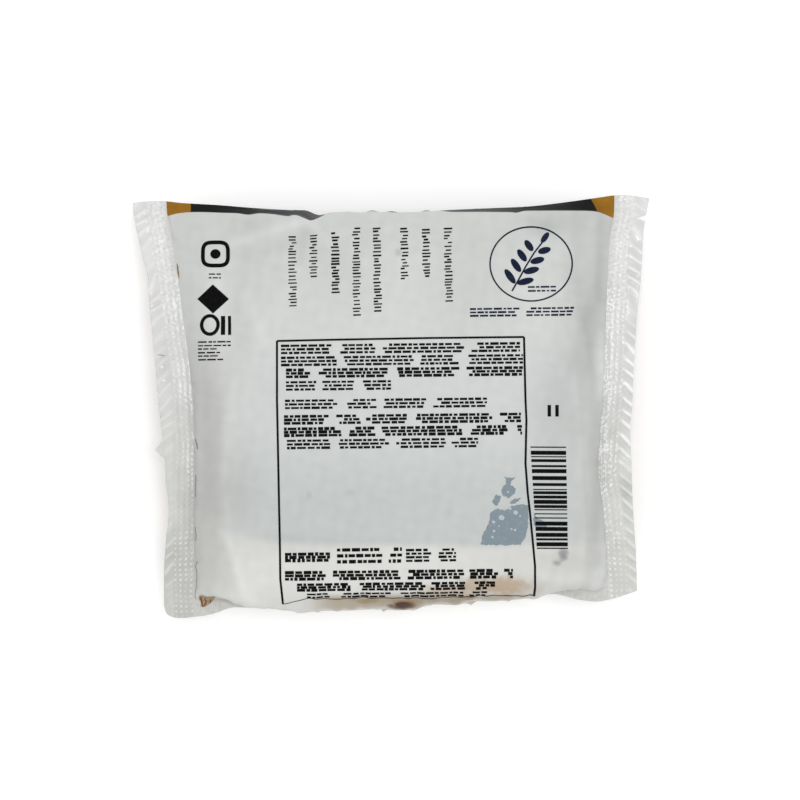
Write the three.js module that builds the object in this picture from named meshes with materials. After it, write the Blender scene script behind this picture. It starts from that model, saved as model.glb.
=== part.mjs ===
import * as THREE from 'three';

// Sizes in millimetres. The pack lies front face down, its back face up; +Y is the top edge.

// The outline below is what an eye at this point sees: parts of the film's edge that lie lower than
// the seams are wider than they look from there
const EYE = [2.14, 1.55, 460];

// Outline of the film, seen from above: points of x and y along the two long folded edges
const TOP_EDGE = [
  [-61.5, 48.5], [-58.3, 48.8], [-53.8, 48.9], [-49.8, 48.5], [-41.2, 48.0], [-32.6, 47.3],
  [-24.0, 46.8], [-20.2, 46.7], [-17.4, 45.6], [-14.5, 46.2], [4.5, 46.3], [13.1, 46.8],
  [24.5, 47.3], [33.1, 47.7], [41.7, 48.7], [50.2, 49.9], [53.1, 50.3], [56.9, 50.3], [61.5, 49.6],
];
const BOTTOM_EDGE = [
  [-54.0, -47.6], [-53.5, -49.2], [-52.1, -50.1], [-49.8, -50.4], [-46.9, -50.1], [-44.0, -49.8],
  [-41.2, -49.0], [-38.3, -48.0], [-35.5, -47.9], [-26.9, -48.3], [-21.2, -49.1], [-18.3, -48.8],
  [-9.8, -48.6], [-4.0, -48.3], [4.5, -48.5], [10.2, -47.2], [16.0, -47.3], [18.8, -46.5],
  [24.5, -46.4], [30.2, -46.0], [38.8, -44.7], [44.5, -46.0], [48.8, -46.5], [53.1, -45.7],
  [58.6, -43.9],
];

// Free edges of the two end fins and the seam lines where the fins begin: points of y and x
const LEFT_FIN_EDGE = [
  [-47.0, -54.0], [-38.0, -54.0], [-32.3, -53.6], [-25.0, -52.9], [-18.0, -53.6], [-12.3, -53.8],
  [-6.5, -54.5], [2.0, -55.5], [13.5, -56.4], [24.9, -57.6], [30.6, -57.9], [36.3, -59.3],
  [44.9, -61.2], [48.5, -61.5],
];
const RIGHT_FIN_EDGE = [
  [-43.9, 58.6], [-35.1, 58.3], [-23.7, 57.6], [-9.4, 57.1], [-5.0, 56.9], [-0.8, 57.4],
  [10.6, 57.9], [22.0, 58.6], [30.6, 59.5], [42.0, 60.2], [49.6, 61.5],
];
const LEFT_SEAM = [
  [-50.0, -46.6], [-44.0, -46.9], [-8.0, -46.9], [-1.0, -47.1], [8.7, -47.9], [23.0, -49.8],
  [30.1, -50.7], [39.6, -52.1], [45.6, -53.3], [49.0, -53.6],
];
const RIGHT_SEAM = [
  [-45.7, 51.9], [-29.4, 51.0], [-22.3, 50.2], [-15.1, 49.4], [-5.6, 49.8], [1.5, 50.5],
  [20.6, 51.2], [39.6, 52.1], [45.6, 53.1], [50.3, 53.3],
];

// Sides of the rice ball under the film: points of y and x where the level back face ends
const LEFT_CONTENTS = [
  [-50, -35.5], [-42, -37.5], [-32, -39.5], [-20, -39.5], [0, -37], [15, -32], [30, -22], [50, -9],
];
const RIGHT_CONTENTS = [
  [-50, 42], [-42, 44], [-32, 45], [-20, 44.6], [0, 43.5], [15, 41], [30, 33], [50, 17],
];

// Width of the flat ear of empty film along the bottom edge: points of x and width
const EAR_WIDTH = [
  [-54, 5.0], [-47, 4.6], [-42, 3.4], [-37, 1.2], [-33, 0.2], [-29, 0.2], [32, 0.2], [36, 0.2],
  [41, 1.3], [46, 2.7], [59, 3.2],
];

// Half of the length between the fins' free edges, near the bottom, and half of the height
const HALF_LENGTH = 54;
const HALF_HEIGHT = 49;

// Heights above the face the pack rests on
const BACK_HEIGHT = 29.6;
const DOME_DROP_X = 1.2;
const DOME_DROP_Y = 1.0;
const DOME_CENTRE = [3, -5];
const SEAM_HEIGHT = 16.5;
const CORNER_DROP = 4;
const CORNER_POWER = 3.5;
const TOP_DROP = 2;
const TOP_DROP_POWER = 2;

// Roundness of the end sides, and widths of the rounded bottom side and the sloping top side
const END_POWER = 4;
const BOTTOM_ROUND = 7.5;
const BOTTOM_POWER = 2.2;
const TOP_SLOPE_MIDDLE = 12;
const TOP_SLOPE_CORNER = 24;
const TOP_SLOPE_SPREAD = 2;
const TOP_POWER = 2.2;
const FRONT_POWER = 2;

// The fins are pressed flat; they sag a little and their free edges are wavy
const FIN_THICKNESS = 0.5;
const FIN_SAG = 1.4;
const FIN_WAVE = 0.45;
const FIN_WAVE_LENGTH = 19;

// Mesh density
const FIN_STEPS = 3;
const EAR_STEPS = 2;
const BODY_STEPS = 44;
const UPPER_STEPS = 48;
const LOWER_STEPS = 24;
const FINE_STEPS = 400;
const END_CROWDING = 0.4;
const MIDDLE_STATION = 0.5;

const FILM_COLOUR = 0xd2d4d1;
const FILM_ROUGHNESS = 0.45;

function clamp(value, low, high) {
  return Math.min(Math.max(value, low), high);
}

function mix(from, to, share) {
  return from + (to - from) * share;
}

// Smooth curve through a list of points
function curve(points, at) {
  const last = points.length - 1;
  const t = clamp(at, points[0][0], points[last][0]);
  let i = 0;
  while (i < last - 1 && t > points[i + 1][0]) {
    i += 1;
  }
  const slope = (k) => {
    const before = points[Math.max(k - 1, 0)];
    const after = points[Math.min(k + 1, last)];
    return (after[1] - before[1]) / (after[0] - before[0]);
  };
  const [x0, y0] = points[i];
  const [x1, y1] = points[i + 1];
  const span = x1 - x0;
  const s = (t - x0) / span;
  const rise = (s * s) * (3 - 2 * s);
  const leave = s * (1 - s) * (1 - s) * slope(i) * span;
  const arrive = s * s * (s - 1) * slope(i + 1) * span;
  return mix(y0, y1, rise) + leave + arrive;
}

// Across the pack: -1 left fin edge, 0 left seam, 1 right seam, 2 right fin edge
function acrossX(across, y) {
  if (across < 0) {
    return mix(curve(LEFT_SEAM, y), curve(LEFT_FIN_EDGE, y), -across);
  }
  if (across > 1) {
    return mix(curve(RIGHT_SEAM, y), curve(RIGHT_FIN_EDGE, y), across - 1);
  }
  return mix(curve(LEFT_SEAM, y), curve(RIGHT_SEAM, y), across);
}

function topEdge(across) {
  return curve(TOP_EDGE, acrossX(across, HALF_HEIGHT));
}

function bottomEdge(across) {
  return curve(BOTTOM_EDGE, acrossX(across, -HALF_HEIGHT));
}

// How far a place lies towards an outer edge: 0 at the middle, 1 at the edge
function outward(distance, reach, power) {
  return clamp(distance / reach, 0, 1) ** power;
}

function earEdge(across) {
  return bottomEdge(across) + curve(EAR_WIDTH, acrossX(across, -HALF_HEIGHT));
}

// Height of the seams and folded edges, where the upper and lower film meet
function edgeHeight(x, y) {
  const nearEnd = outward(Math.abs(x), HALF_LENGTH, CORNER_POWER);
  const nearSide = outward(Math.abs(y), HALF_HEIGHT, CORNER_POWER);
  const nearTop = outward(y, HALF_HEIGHT, TOP_DROP_POWER);
  return SEAM_HEIGHT - CORNER_DROP * nearEnd * nearSide - TOP_DROP * nearTop;
}

// Share of the full height reached at a distance from an end seam
function endRise(distance, width) {
  const t = clamp(distance / width, 0, 1);
  return (END_POWER * t - t ** END_POWER) / (END_POWER - 1);
}

function bottomRise(distance) {
  const t = clamp(distance / BOTTOM_ROUND, 0, 1);
  return (1 - (1 - t) ** BOTTOM_POWER) ** (1 / BOTTOM_POWER);
}

function topRise(distance, width) {
  const t = clamp(distance / width, 0, 1);
  return 1 - (1 - t) ** TOP_POWER;
}

// Share of the full height over the whole back face
function fullness(across, x, y) {
  const leftSeam = curve(LEFT_SEAM, y);
  const rightSeam = curve(RIGHT_SEAM, y);
  const left = endRise(x - leftSeam, curve(LEFT_CONTENTS, y) - leftSeam);
  const right = endRise(rightSeam - x, rightSeam - curve(RIGHT_CONTENTS, y));
  const nearEnd = outward(Math.abs(x), HALF_LENGTH, TOP_SLOPE_SPREAD);
  const top = topRise(topEdge(across) - y, mix(TOP_SLOPE_MIDDLE, TOP_SLOPE_CORNER, nearEnd));
  const bottom = bottomRise(y - earEdge(across));
  return left * right * top * bottom;
}

function backHeight(x, y) {
  const alongX = (x - DOME_CENTRE[0]) / HALF_LENGTH;
  const alongY = (y - DOME_CENTRE[1]) / HALF_HEIGHT;
  return BACK_HEIGHT - DOME_DROP_X * alongX ** 2 - DOME_DROP_Y * alongY ** 2;
}

function finHeight(across, x, y) {
  const out = across < 0 ? -across : across - 1;
  const wave = FIN_WAVE * Math.sin(2 * Math.PI * y / FIN_WAVE_LENGTH) * out;
  return edgeHeight(x, y) - FIN_SAG * out * out + wave;
}

// Where a place of the outline truly lies when its edge is at this height
function spread(x, y, height) {
  const scale = (EYE[2] - height) / (EYE[2] - SEAM_HEIGHT);
  return [mix(EYE[0], x, scale), mix(EYE[1], y, scale)];
}

function filmPoint(across, y, upper) {
  const x = acrossX(across, y);
  const half = FIN_THICKNESS / 2;
  if (across <= 0 || across >= 1) {
    const fin = finHeight(across, x, y);
    return [...spread(x, y, fin), fin + (upper ? half : -half)];
  }
  const edge = edgeHeight(x, y);
  const place = spread(x, y, edge);
  const full = fullness(across, x, y);
  if (upper) {
    return [...place, mix(edge + half, backHeight(x, y), full)];
  }
  return [...place, mix(edge - half, 0, 1 - (1 - full) ** FRONT_POWER)];
}

// Shares of the height where the film's rows lie, evenly spaced along the middle section
function filmRows(upper, steps) {
  const low = earEdge(MIDDLE_STATION);
  const high = topEdge(MIDDLE_STATION);
  const shares = [];
  const lengths = [];
  let before = null;
  for (let i = 0; i <= FINE_STEPS; i += 1) {
    const share = (1 - Math.cos(Math.PI * i / FINE_STEPS)) / 2;
    const point = filmPoint(MIDDLE_STATION, mix(low, high, share), upper);
    const step = before ? Math.hypot(point[1] - before[1], point[2] - before[2]) : 0;
    shares.push(share);
    lengths.push(step + (i > 0 ? lengths[i - 1] : 0));
    before = point;
  }
  const rows = [0];
  let k = 1;
  for (let i = 1; i < steps; i += 1) {
    const goal = lengths[FINE_STEPS] * i / steps;
    while (lengths[k] < goal) {
      k += 1;
    }
    const share = (goal - lengths[k - 1]) / (lengths[k] - lengths[k - 1]);
    rows.push(mix(shares[k - 1], shares[k], share));
  }
  rows.push(1);
  return rows;
}

function filmLine(across, upper, rows) {
  const outer = bottomEdge(across);
  const low = earEdge(across);
  const high = topEdge(across);
  const line = [];
  for (let i = 0; i < EAR_STEPS; i += 1) {
    line.push(filmPoint(across, mix(outer, low, i / EAR_STEPS), upper));
  }
  rows.forEach((share) => line.push(filmPoint(across, mix(low, high, share), upper)));
  return line;
}

function stations() {
  const list = [];
  for (let i = 0; i < FIN_STEPS; i += 1) {
    list.push(i / FIN_STEPS - 1);
  }
  for (let i = 0; i <= BODY_STEPS; i += 1) {
    const even = i / BODY_STEPS;
    const crowded = (1 - Math.cos(Math.PI * even)) / 2;
    list.push(mix(even, crowded, END_CROWDING));
  }
  for (let i = 1; i <= FIN_STEPS; i += 1) {
    list.push(1 + i / FIN_STEPS);
  }
  return list;
}

// The closed skin: upper and lower film joined along both long edges and both fin edges
function packGeometry() {
  const columns = stations();
  const upperRows = filmRows(true, UPPER_STEPS);
  const lowerRows = filmRows(false, LOWER_STEPS);
  const positions = [];
  const upperStart = [];
  const lowerStart = [];
  for (const across of columns) {
    upperStart.push(positions.length / 3);
    filmLine(across, true, upperRows).forEach((point) => positions.push(...point));
    lowerStart.push(positions.length / 3);
    filmLine(across, false, lowerRows).forEach((point) => positions.push(...point));
  }
  const upperLast = UPPER_STEPS + EAR_STEPS;
  const lowerLast = LOWER_STEPS + EAR_STEPS;
  const faces = [];
  const quad = (a, b, c, d) => faces.push(a, b, c, a, c, d);
  for (let i = 0; i < columns.length - 1; i += 1) {
    const [u0, u1] = [upperStart[i], upperStart[i + 1]];
    const [l0, l1] = [lowerStart[i], lowerStart[i + 1]];
    for (let j = 0; j < upperLast; j += 1) {
      quad(u0 + j, u1 + j, u1 + j + 1, u0 + j + 1);
    }
    for (let j = 0; j < lowerLast; j += 1) {
      quad(l0 + j, l0 + j + 1, l1 + j + 1, l1 + j);
    }
    quad(l0, l1, u1, u0);
    quad(u0 + upperLast, u1 + upperLast, l1 + lowerLast, l0 + lowerLast);
  }

  // Free edges of the two fins: in the ear one upper face meets each lower one, above it two do
  const last = columns.length - 1;
  let k = 0;
  for (let j = 0; j < lowerLast; j += 1) {
    const next = k + (j < EAR_STEPS ? 1 : UPPER_STEPS / LOWER_STEPS);
    const [l0, r0] = [lowerStart[0] + j, lowerStart[last] + j];
    const [lu, ru] = [upperStart[0], upperStart[last]];
    for (let i = k; i < next; i += 1) {
      faces.push(l0, lu + i, lu + i + 1);
      faces.push(r0, ru + i + 1, ru + i);
    }
    faces.push(l0, lu + next, l0 + 1);
    faces.push(r0, r0 + 1, ru + next);
    k = next;
  }
  const geometry = new THREE.BufferGeometry();
  geometry.setAttribute('position', new THREE.Float32BufferAttribute(positions, 3));
  geometry.setIndex(faces);
  geometry.computeVertexNormals();
  geometry.computeBoundingBox();
  const box = geometry.boundingBox;
  const middle = box.getCenter(new THREE.Vector3());
  geometry.translate(-middle.x, -middle.y, -box.min.z);
  return geometry;
}

const film = new THREE.MeshStandardMaterial({
  name: 'film',
  color: FILM_COLOUR,
  roughness: FILM_ROUGHNESS,
});
const pack = new THREE.Mesh(packGeometry(), film);
pack.name = 'pack';

const group = new THREE.Group();
group.name = 'wrapped_rice_ball_pack';
group.add(pack);

export default group;
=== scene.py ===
import math

import bmesh
import bpy
import numpy as np
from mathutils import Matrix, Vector
from mathutils.bvhtree import BVHTree
from mathutils.geometry import barycentric_transform


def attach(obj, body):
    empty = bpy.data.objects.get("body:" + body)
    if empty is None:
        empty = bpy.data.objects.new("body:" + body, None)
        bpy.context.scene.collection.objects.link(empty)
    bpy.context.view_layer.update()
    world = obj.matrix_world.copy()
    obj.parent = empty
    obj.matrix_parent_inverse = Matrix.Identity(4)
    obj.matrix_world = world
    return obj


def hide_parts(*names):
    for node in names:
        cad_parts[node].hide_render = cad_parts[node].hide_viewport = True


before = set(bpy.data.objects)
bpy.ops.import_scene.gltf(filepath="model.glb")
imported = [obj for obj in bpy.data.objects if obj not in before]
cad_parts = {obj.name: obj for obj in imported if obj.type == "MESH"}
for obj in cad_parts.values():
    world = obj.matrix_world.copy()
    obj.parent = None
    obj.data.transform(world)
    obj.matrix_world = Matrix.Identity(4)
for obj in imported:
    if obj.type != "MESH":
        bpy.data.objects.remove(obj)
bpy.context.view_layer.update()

scene = bpy.context.scene

MM = 0.001

# Outline of the film, seen from above, in millimetres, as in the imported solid
TOP_EDGE = [
    (-61.5, 48.5), (-58.3, 48.8), (-53.8, 48.9), (-49.8, 48.5), (-41.2, 48), (-32.6, 47.3),
    (-24, 46.8), (-20.2, 46.7), (-17.4, 45.6), (-14.5, 46.2), (4.5, 46.3), (13.1, 46.8),
    (24.5, 47.3), (33.1, 47.7), (41.7, 48.7), (50.2, 49.9), (53.1, 50.3), (56.9, 50.3), (61.5, 49.6),
]
BOTTOM_EDGE = [
    (-54, -47.6), (-53.5, -49.2), (-52.1, -50.1), (-49.8, -50.4), (-46.9, -50.1), (-44, -49.8),
    (-41.2, -49), (-38.3, -48), (-35.5, -47.9), (-26.9, -48.3), (-21.2, -49.1), (-18.3, -48.8),
    (-9.8, -48.6), (-4, -48.3), (4.5, -48.5), (10.2, -47.2), (16, -47.3), (18.8, -46.5),
    (24.5, -46.4), (30.2, -46), (38.8, -44.7), (44.5, -46), (48.8, -46.5), (53.1, -45.7),
    (58.6, -43.9),
]
LEFT_FIN_EDGE = [
    (-47, -54), (-38, -54), (-32.3, -53.6), (-25, -52.9), (-18, -53.6), (-12.3, -53.8),
    (-6.5, -54.5), (2, -55.5), (13.5, -56.4), (24.9, -57.6), (30.6, -57.9), (36.3, -59.3),
    (44.9, -61.2), (48.5, -61.5),
]
RIGHT_FIN_EDGE = [
    (-43.9, 58.6), (-35.1, 58.3), (-23.7, 57.6), (-9.4, 57.1), (-5, 56.9), (-0.8, 57.4),
    (10.6, 57.9), (22, 58.6), (30.6, 59.5), (42, 60.2), (49.6, 61.5),
]
LEFT_SEAM = [
    (-50, -46.6), (-44, -46.9), (-8, -46.9), (-1, -47.1), (8.7, -47.9), (23, -49.8),
    (30.1, -50.7), (39.6, -52.1), (45.6, -53.3), (49, -53.6),
]
RIGHT_SEAM = [
    (-45.7, 51.9), (-29.4, 51), (-22.3, 50.2), (-15.1, 49.4), (-5.6, 49.8), (1.5, 50.5),
    (20.6, 51.2), (39.6, 52.1), (45.6, 53.1), (50.3, 53.3),
]
LEFT_CONTENTS = [
    (-50, -35.5), (-42, -37.5), (-32, -39.5), (-20, -39.5), (0, -37), (15, -32), (30, -22), (50, -9),
]
RIGHT_CONTENTS = [
    (-50, 42), (-42, 44), (-32, 45), (-20, 44.6), (0, 43.5), (15, 41), (30, 33), (50, 17),
]
EAR_WIDTH = [
    (-54, 5), (-47, 4.6), (-42, 3.4), (-37, 1.2), (-33, 0.2), (-29, 0.2), (32, 0.2), (36, 0.2),
    (41, 1.3), (46, 2.7), (59, 3.2),
]
HALF_LENGTH = 54
HALF_HEIGHT = 49
BACK_HEIGHT = 29.6
DOME_DROP_X = 1.2
DOME_DROP_Y = 1
DOME_CENTRE = (3, -5)
SEAM_HEIGHT = 16.5
CORNER_DROP = 4
CORNER_POWER = 3.5
TOP_DROP = 2
TOP_DROP_POWER = 2
END_POWER = 4
BOTTOM_ROUND = 7.5
BOTTOM_POWER = 2.2
TOP_SLOPE_MIDDLE = 12
TOP_SLOPE_CORNER = 24
TOP_SLOPE_SPREAD = 2
TOP_POWER = 2.2
FRONT_POWER = 2
FIN_SAG = 1.4
FIN_WAVE = 0.45
FIN_WAVE_LENGTH = 19

# The outline is what an eye at this point sees; its middle lies at the origin
EYE = (2.14, 1.55, 460)
MIDDLE = (-0.014, 0.168)

# Half the thickness of the two films where they lie together
FILM_HALF = 0.12

# The camera looks straight down; places on the film are also given in pixels of an 800 px image
IMAGE = 800
CAMERA = (EYE[0] - MIDDLE[0], EYE[1] - MIDDLE[1], EYE[2])
FOCAL_PIXELS = 1860.6
SENSOR = 36


# Film shape

def curve(points, at):
    """Smooth curve through a list of points."""
    xs, ys = np.array(points, float).T
    t = np.clip(at, xs[0], xs[-1])
    slopes = np.empty(len(xs))
    slopes[1:-1] = (ys[2:] - ys[:-2]) / (xs[2:] - xs[:-2])
    slopes[[0, -1]] = (ys[[1, -1]] - ys[[0, -2]]) / (xs[[1, -1]] - xs[[0, -2]])
    i = np.clip(np.searchsorted(xs, t, side="right") - 1, 0, len(xs) - 2)
    span = xs[i + 1] - xs[i]
    s = (t - xs[i]) / span
    rise = s * s * (3 - 2 * s)
    value = ys[i] + (ys[i + 1] - ys[i]) * rise
    value = value + s * (1 - s) ** 2 * slopes[i] * span
    return value + s * s * (s - 1) * slopes[i + 1] * span


def mix(a, b, share):
    return a + (b - a) * share


def smooth(low, high, value):
    t = np.clip((value - low) / (high - low), 0, 1)
    return t * t * (3 - 2 * t)


def outward(distance, reach, power):
    return np.clip(distance / reach, 0, 1) ** power


def across_x(across, y):
    """-1 left fin edge, 0 left seam, 1 right seam, 2 right fin edge."""
    left, right = curve(LEFT_SEAM, y), curve(RIGHT_SEAM, y)
    body = mix(left, right, across)
    left_fin = mix(left, curve(LEFT_FIN_EDGE, y), -across)
    right_fin = mix(right, curve(RIGHT_FIN_EDGE, y), across - 1)
    return np.where(across < 0, left_fin, np.where(across > 1, right_fin, body))


def top_edge(across):
    return curve(TOP_EDGE, across_x(across, HALF_HEIGHT))


def bottom_edge(across):
    return curve(BOTTOM_EDGE, across_x(across, -HALF_HEIGHT))


def ear_edge(across):
    return bottom_edge(across) + curve(EAR_WIDTH, across_x(across, -HALF_HEIGHT))


def edge_height(x, y):
    near_end = outward(np.abs(x), HALF_LENGTH, CORNER_POWER)
    near_side = outward(np.abs(y), HALF_HEIGHT, CORNER_POWER)
    near_top = outward(y, HALF_HEIGHT, TOP_DROP_POWER)
    return SEAM_HEIGHT - CORNER_DROP * near_end * near_side - TOP_DROP * near_top


def end_rise(distance, width):
    t = np.clip(distance / width, 0, 1)
    return (END_POWER * t - t**END_POWER) / (END_POWER - 1)


def fullness(across, x, y):
    left_seam, right_seam = curve(LEFT_SEAM, y), curve(RIGHT_SEAM, y)
    left = end_rise(x - left_seam, curve(LEFT_CONTENTS, y) - left_seam)
    right = end_rise(right_seam - x, right_seam - curve(RIGHT_CONTENTS, y))
    near_end = outward(np.abs(x), HALF_LENGTH, TOP_SLOPE_SPREAD)
    top_width = mix(TOP_SLOPE_MIDDLE, TOP_SLOPE_CORNER, near_end)
    top_t = np.clip((top_edge(across) - y) / top_width, 0, 1)
    top = 1 - (1 - top_t) ** TOP_POWER
    low_t = np.clip((y - ear_edge(across)) / BOTTOM_ROUND, 0, 1)
    bottom = (1 - (1 - low_t) ** BOTTOM_POWER) ** (1 / BOTTOM_POWER)
    return left * right * top * bottom


def back_height(x, y):
    along_x = (x - DOME_CENTRE[0]) / HALF_LENGTH
    along_y = (y - DOME_CENTRE[1]) / HALF_HEIGHT
    return BACK_HEIGHT - DOME_DROP_X * along_x**2 - DOME_DROP_Y * along_y**2


def spread(x, y, height):
    """Where a place of the outline truly lies when its edge is at this height."""
    scale = (EYE[2] - height) / (EYE[2] - SEAM_HEIGHT)
    return mix(EYE[0], x, scale) - MIDDLE[0], mix(EYE[1], y, scale) - MIDDLE[1]


# Rows of film points: across the flat ear along the bottom edge, then up to the top edge
EAR_SHARES = np.array([0, 0.04, 0.1, 0.18, 0.28, 0.4, 0.52, 0.64, 0.76, 0.88])
ROW_CROWDING = 0.4
FINE_ROWS = 3000


def film_grid(across, shares, upper):
    """Film points in lines from the bottom edge to the top edge, one line per across value."""
    a = across[:, None]
    outer, low, high = bottom_edge(a), ear_edge(a), top_edge(a)
    y = np.concatenate([mix(outer, low, EAR_SHARES[None, :]), mix(low, high, shares[None, :])], axis=1)
    x = across_x(a, y)
    edge = edge_height(x, y)
    full = fullness(a, x, y)
    if upper:
        z = mix(edge + FILM_HALF, back_height(x, y), full)
    else:
        z = mix(edge - FILM_HALF, 0.0, 1 - (1 - full) ** FRONT_POWER)
    return np.stack([*spread(x, y, edge), z], -1)


def run_length(points, axis):
    """Distance along the grid's lines from their first point."""
    steps = np.linalg.norm(np.diff(points, axis=axis), axis=-1)
    start = np.zeros_like(np.take(steps, [0], axis=axis))
    return np.concatenate([start, np.cumsum(steps, axis=axis)], axis=axis)


def crowded(count, crowding):
    """Even steps from 0 to 1, closer together near both ends."""
    even = np.linspace(0, 1, count + 1)
    return mix(even, (1 - np.cos(math.pi * even)) / 2, crowding)


def film_rows(upper, count):
    """Shares of the height that lie almost evenly along the film's middle section."""
    fine = crowded(FINE_ROWS, 1.0)
    line = film_grid(np.array([0.5]), fine, upper)[:, len(EAR_SHARES):]
    length = run_length(line, 1)[0]
    return np.interp(crowded(count, ROW_CROWDING) * length[-1], length, fine)


def grid_normals(points):
    du = np.gradient(points, axis=0)
    dv = np.gradient(points, axis=1)
    n = np.cross(du, dv)
    return n / np.maximum(np.linalg.norm(n, axis=-1, keepdims=True), 1e-9)


def to_pixel(points):
    depth = CAMERA[2] - points[..., 2]
    px = IMAGE / 2 + FOCAL_PIXELS * (points[..., 0] - CAMERA[0]) / depth
    py = IMAGE / 2 - FOCAL_PIXELS * (points[..., 1] - CAMERA[1]) / depth
    return px, py


# Folds and wrinkles

def waves(count, shortest, longest, seed):
    """Smooth unevenness of two coordinates, which may be shifted and stretched, about -1 to 1."""
    r = np.random.default_rng(seed)
    turn = r.uniform(0, math.pi, count)
    length = np.exp(r.uniform(math.log(shortest), math.log(longest), count))
    phase = r.uniform(0, 2 * math.pi, count)
    kx, ky = np.cos(turn) * 2 * math.pi / length, np.sin(turn) * 2 * math.pi / length

    def value(x, y):
        total = 0.0
        for i in range(count):
            total += np.sin(kx[i] * x + ky[i] * y + phase[i])
        return total / math.sqrt(count)

    return value


def segment_distance(x, y, x0, y0, x1, y1):
    dx, dy = x1 - x0, y1 - y0
    t = np.clip(((x - x0) * dx + (y - y0) * dy) / (dx * dx + dy * dy), 0, 1)
    return np.hypot(x - x0 - t * dx, y - y0 - t * dy), t


# Folds in the back film: pixel ends, half width in pixels, depth in millimetres (+ stands up)
FOLDS = [
    (233, 243, 306, 220, 8, 0.36), (246, 256, 318, 232, 10, -0.16), (309, 222, 298, 262, 6, -0.2),
    (310, 221, 330, 244, 7, 0.32), (322, 216, 352, 246, 12, 0.14), (247, 292, 262, 340, 9, 0.14),
    (224, 330, 224, 470, 14, 0.18), (222, 470, 225, 535, 9, 0.18), (225, 533, 240, 590, 8, 0.16),
    (214, 598, 240, 604, 3, -0.3), (602, 214, 598, 300, 6, -0.3), (590, 224, 584, 300, 9, 0.2),
    (584, 318, 594, 376, 6, -0.24), (576, 300, 572, 345, 9, 0.2), (581, 380, 586, 450, 12, 0.16),
    (590, 470, 584, 560, 10, 0.18), (540, 596, 556, 588, 6, 0.26), (560, 594, 584, 584, 7, -0.24),
    (590, 598, 600, 570, 6, 0.26),
]

slack = waves(9, 11, 34, 11)
crumple = waves(14, 3.2, 9, 12)
rumple = waves(9, 2.6, 8, 13)

# Pleats: share of their reach and height, lean, thickness, and how they spread and fade
PLEAT_SIZE = (0.4, 1)
PLEAT_LEAN = (-0.5, 0.5)
PLEAT_THICKNESS = (0.65, 1.25)
RAISED_SHARE = 0.7
SUNK_HEIGHT = -0.6
PLEAT_ROOT = 0.7
PLEAT_SHARPNESS = 1.4
PLEAT_FADE = 0.8
RIM_WIDTH = 1

# Pleats from the left and right seam, bottom and top edge: how many, first, last, reach, height
PLEATED_EDGES = [(26, -46, 46, 11, 1), (26, -44, 46, 11, 1), (24, -44, 50, 11, 1), (14, -50, 50, 7, 0.6)]


def pleats(out, along, seed, count, first, last, reach, height):
    """Small ridges that start at an edge: out is the distance from it, along runs beside it."""
    r = np.random.default_rng(seed)
    total = np.zeros_like(out)
    for _ in range(count):
        start = r.uniform(first, last)
        length = reach * r.uniform(*PLEAT_SIZE)
        lean = r.uniform(*PLEAT_LEAN)
        thick = r.uniform(*PLEAT_THICKNESS)
        tall = height * r.uniform(*PLEAT_SIZE) * (1 if r.uniform() < RAISED_SHARE else SUNK_HEIGHT)
        share = np.clip(out / length, 0, 1)
        away = np.abs(along - start - lean * out) / (thick * (PLEAT_ROOT + share))
        total += tall * np.exp(-(away**PLEAT_SHARPNESS)) * (1 - share) ** PLEAT_FADE
    return total


class FilmPlace:
    """Distances along the film from its two seams and its two folded edges."""

    def __init__(self, points):
        self.x, self.y = points[..., 0], points[..., 1]
        self.left = run_length(points, 0)
        self.right = self.left[-1:] - self.left
        self.low = run_length(points, 1)
        self.high = self.low[:, -1:] - self.low
        self.seam = np.minimum(self.left, self.right)
        self.fold = np.minimum(self.low, self.high)

    def gathers(self, seed, tall):
        edges = (self.left, self.y), (self.right, self.y), (self.low, self.x), (self.high, self.x)
        total = 0.0
        for k, (out, along) in enumerate(edges):
            count, first, last, reach, share = PLEATED_EDGES[k]
            total += pleats(out, along, seed + k, count, first, last, reach, share * tall)
        return total

    def rim(self):
        """0 on the edges that the two films share, 1 a little way from them."""
        return smooth(0, RIM_WIDTH, self.seam) * smooth(0, RIM_WIDTH, self.fold)


LAP_STEP = 0.22
LAP_EDGE = (0.1, -0.1)
LAP_LIFT = (-6, -0.4)
FOLD_ROUND = 1.2
FOLD_SHARPNESS = 1.6
FOLD_ENDS = 0.55
FOLD_SWELL = 0.45

# Wrinkles of the back film: heights, and distances from an edge
BACK_SLACK = 0.06
BACK_CRUMPLE = 0.02
SEAM_CRUMPLE = 0.12
CRUMPLE_REACH = 4
LOW_RUMPLE = 0.2
RUMPLE_PLACE = 8
RUMPLE_REACH = 6
BACK_PLEATS = (51, 0.36)

# Wrinkles of the front film, and how far it may bulge
FRONT_SLACK = 0.28
FRONT_CRUMPLE = 0.06
FOLD_RIDGES = 0.3
FOLD_RIDGE_REACH = 14
SEAM_RIDGES = 0.25
SEAM_RIDGE_REACH = 12
FRONT_PLEATS = (71, 0.75)
FRONT_BULGE = 0.1


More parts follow.
